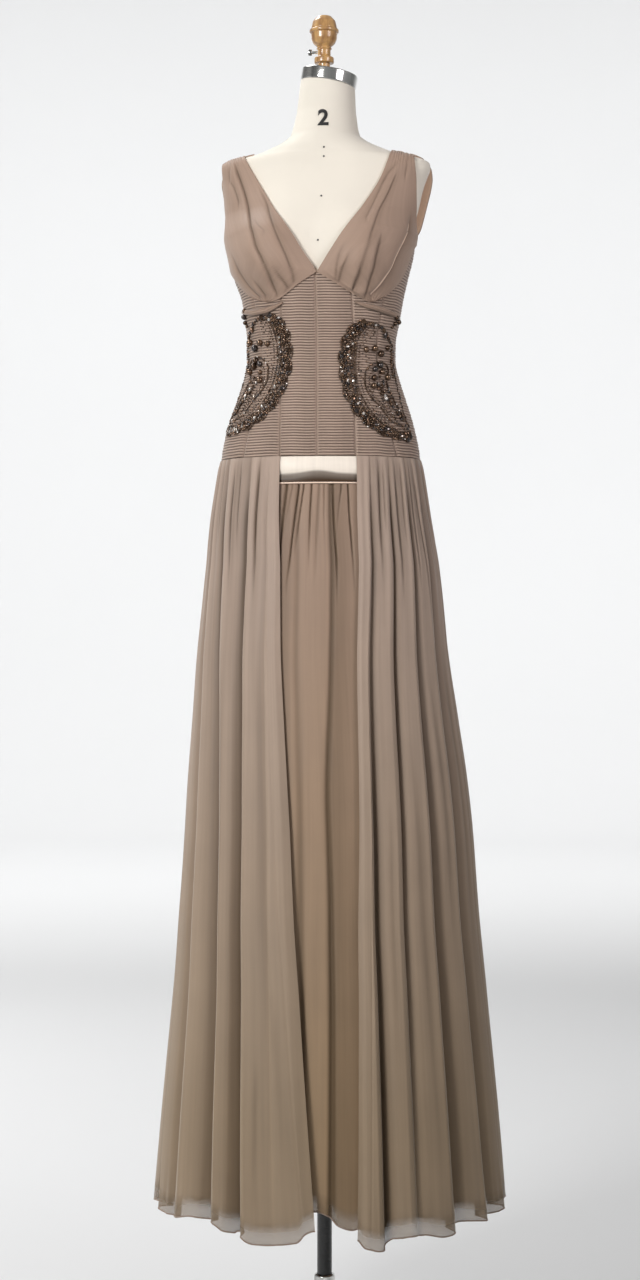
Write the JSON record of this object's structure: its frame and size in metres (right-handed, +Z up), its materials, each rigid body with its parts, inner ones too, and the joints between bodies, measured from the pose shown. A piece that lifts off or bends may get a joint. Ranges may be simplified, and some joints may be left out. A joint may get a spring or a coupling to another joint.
{
  "type": "evening gown on a dress form",
  "caption": "Sleeveless V-neck chiffon evening gown with a pin-tucked midriff, beaded side motifs and a split overskirt, on a limbless dress form with a pole stand.",
  "frame": {"origin": "on the floor, at the centre of the stand base's flat underside, below the pole", "axes": "+Z up along the pole; the gown's front faces -Y; +X is to the right of someone who looks at the front"},
  "size_m": [0.546, 0.5353, 2.0883],
  "materials": {
    "taupe_chiffon": "soft chiffon with a low sheen",
    "warm_lining": "plain smooth lining",
    "champagne_satin": "glossy satin",
    "bead_work": "dark bronze glass beads sewn on net",
    "cream_jersey": "smooth stretched jersey",
    "turned_wood": "satin varnish",
    "polished_metal": "polished",
    "black_metal": "black enamel"
  },
  "bodies": {
    "root": {"form_torso": "cream_jersey", "neck_cap": "polished_metal", "finial": "turned_wood", "thumbscrew": "polished_metal", "thumbscrew_shank": "polished_metal", "pole": "black_metal", "pole_flange": "black_metal", "height_collar": "polished_metal", "pole_sleeve": "black_metal", "stand_base": "black_metal", "midriff_centre_front_left": "taupe_chiffon", "midriff_centre_front_right": "taupe_chiffon", "midriff_side_front_left": "taupe_chiffon", "midriff_side_front_right": "taupe_chiffon", "midriff_side_left": "taupe_chiffon", "midriff_side_right": "taupe_chiffon", "midriff_back_left": "taupe_chiffon", "midriff_back_right": "taupe_chiffon", "cup_left": "taupe_chiffon", "cup_right": "taupe_chiffon", "back_bodice_left": "taupe_chiffon", "back_bodice_right": "taupe_chiffon", "empire_fold_left": "taupe_chiffon", "empire_fold_right": "taupe_chiffon", "bead_applique_left": "bead_work", "bead_applique_right": "bead_work", "skirt_front_left": "taupe_chiffon", "skirt_front_right": "taupe_chiffon", "skirt_back": "taupe_chiffon", "satin_band": "champagne_satin", "underskirt": "taupe_chiffon", "lining": "warm_lining"}
  },
  "joints": []
}
